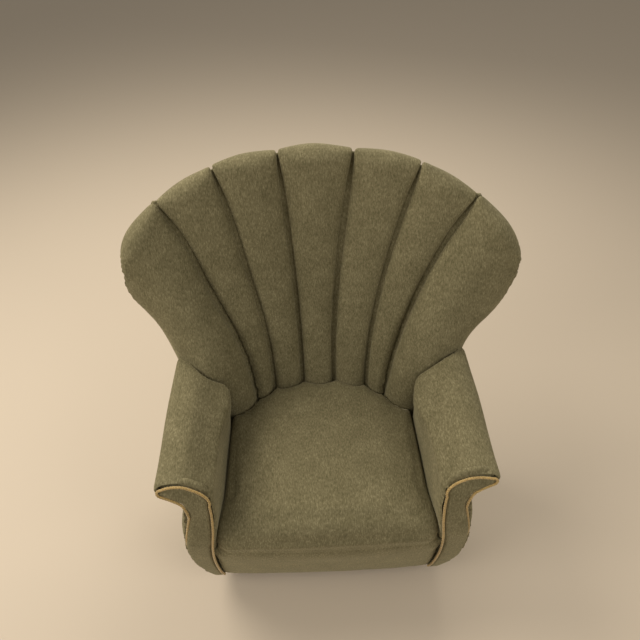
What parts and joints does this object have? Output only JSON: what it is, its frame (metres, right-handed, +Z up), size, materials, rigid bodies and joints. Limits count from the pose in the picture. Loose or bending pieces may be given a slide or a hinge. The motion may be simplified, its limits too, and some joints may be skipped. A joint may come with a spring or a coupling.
{
  "type": "fan-back upholstered armchair",
  "caption": "Upholstered armchair with a tall channelled fan back, broad scrolled arms edged in rope piping, one crowned seat and low hidden feet.",
  "frame": {"origin": "on the floor, under the middle of the chair's bounding box", "axes": "+Z up, +X towards the viewer's right, the sitter faces -Y"},
  "size_m": [1.0746, 0.8128, 1.1124],
  "materials": {
    "green_chenille": "soft pile",
    "gold_rope": "twisted cord",
    "foam": "open cell foam",
    "frame_timber": "planed",
    "plywood": "sanded",
    "dark_wood": "stained satin",
    "spring_steel": "plain",
    "bolt_steel": "plain",
    "black_cloth": "woven",
    "glide_plastic": "matte"
  },
  "bodies": {
    "root": {"arm_facing_left": "green_chenille", "arm_facing_right": "green_chenille", "arm_front_board_left": "plywood", "arm_front_board_right": "plywood", "arm_pad_left": "green_chenille", "arm_pad_right": "green_chenille", "arm_piping_left": "gold_rope", "arm_piping_right": "gold_rope", "arm_side_board_left": "plywood", "arm_side_board_right": "plywood", "arm_top_rail_left": "frame_timber", "arm_top_rail_right": "frame_timber", "back_channel_1": "green_chenille", "back_channel_2": "green_chenille", "back_channel_3": "green_chenille", "back_channel_4": "green_chenille", "back_channel_5": "green_chenille", "back_channel_6": "green_chenille", "back_channel_7": "green_chenille", "back_seat_rail": "plywood", "back_stave_1": "plywood", "back_stave_2": "plywood", "back_stave_3": "plywood", "back_stave_4": "plywood", "back_stave_5": "plywood", "back_stave_6": "plywood", "back_stave_7": "plywood", "corner_blocks": "frame_timber", "curved_back_rail": "plywood", "dust_cover": "black_cloth", "foot_back_left": "dark_wood", "foot_back_right": "dark_wood", "foot_bolts": "bolt_steel", "foot_front_left": "dark_wood", "foot_front_right": "dark_wood", "front_border": "green_chenille", "front_seat_rail": "frame_timber", "glide_back_left": "glide_plastic", "glide_back_right": "glide_plastic", "glide_front_left": "glide_plastic", "glide_front_right": "glide_plastic", "outside_arm_panel_left": "green_chenille", "outside_arm_panel_right": "green_chenille", "outside_back_cover": "green_chenille", "rim_rail": "frame_timber", "seat_cover": "green_chenille", "seat_foam": "foam", "seat_springs": "spring_steel", "side_seat_rail_left": "frame_timber", "side_seat_rail_right": "frame_timber", "spring_clips": "spring_steel", "spring_deck_cloth": "black_cloth", "wing_post_left": "frame_timber", "wing_post_right": "frame_timber"}
  },
  "joints": []
}
